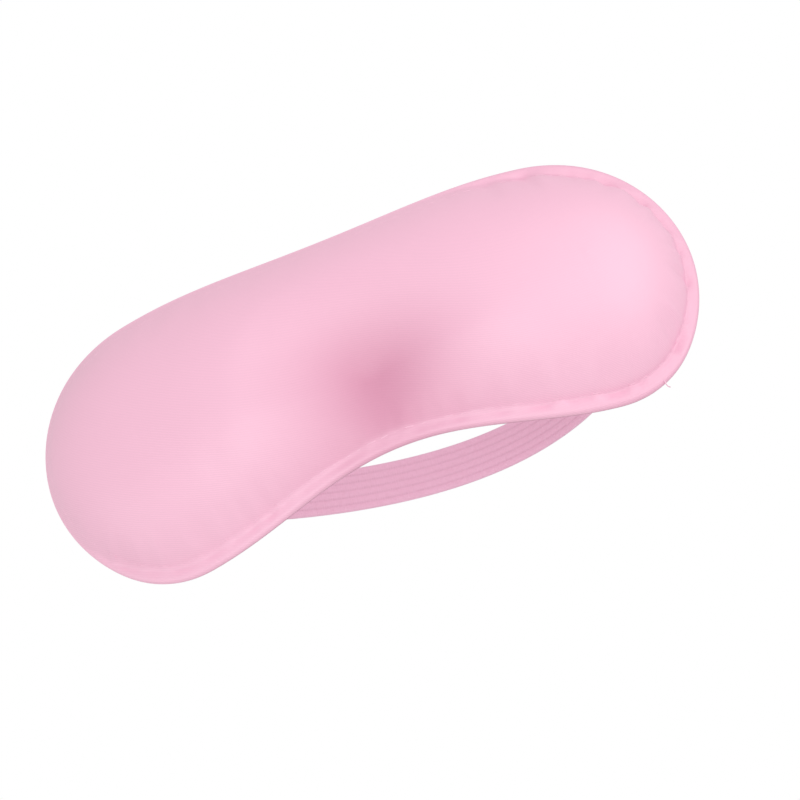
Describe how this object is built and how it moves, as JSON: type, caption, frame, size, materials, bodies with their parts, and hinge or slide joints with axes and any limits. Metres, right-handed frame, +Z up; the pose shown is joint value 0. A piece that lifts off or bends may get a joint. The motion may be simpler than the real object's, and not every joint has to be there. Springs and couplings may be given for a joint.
{
  "type": "sleep eye mask",
  "caption": "Padded satin sleep mask with two convex eye domes, a nose notch, a stitched edge and a ribbed elastic head band.",
  "frame": {"origin": "middle of the face side, between the eyes, half way up the round ends", "axes": "+Z up as worn, -Y out of the front, +Y towards the face and the head band, +X to the right seen from the front"},
  "size_m": [0.2142, 0.1165, 0.0881],
  "materials": {
    "satin": "pale pink polyester satin, silky",
    "padding": "white needled fibre wadding",
    "blackout": "thin black blackout cloth",
    "lining": "pale pink brushed satin",
    "elastic": "ribbed knitted elastic, pale pink",
    "thread": "pink polyester sewing thread"
  },
  "bodies": {
    "mask": {"front_cover": "satin", "pad_core": "padding", "blackout_liner": "blackout", "back_lining": "lining", "edge_topstitch": "thread", "strap_end_left": "elastic", "strap_end_right": "elastic", "bar_tack_left": "thread", "bar_tack_right": "thread"},
    "strap_sides": {"strap_run_left": "elastic", "strap_run_right": "elastic"},
    "strap_rear": {"strap_back": "elastic"}
  },
  "joints": [
    {"name": "strap_swing", "type": "hinge", "parent": "mask", "child": "strap_sides", "pos_m": [0, 0.0244, 0], "axis": [1, 0, 0], "range_deg": [-45, 45]},
    {"name": "strap_stretch", "type": "slide", "parent": "strap_sides", "child": "strap_rear", "axis": [0, 1, 0], "range_m": [0, 0.06], "stiffness_N_per_m": 45, "deforming": ["strap_run_left", "strap_run_right"]}
  ]
}
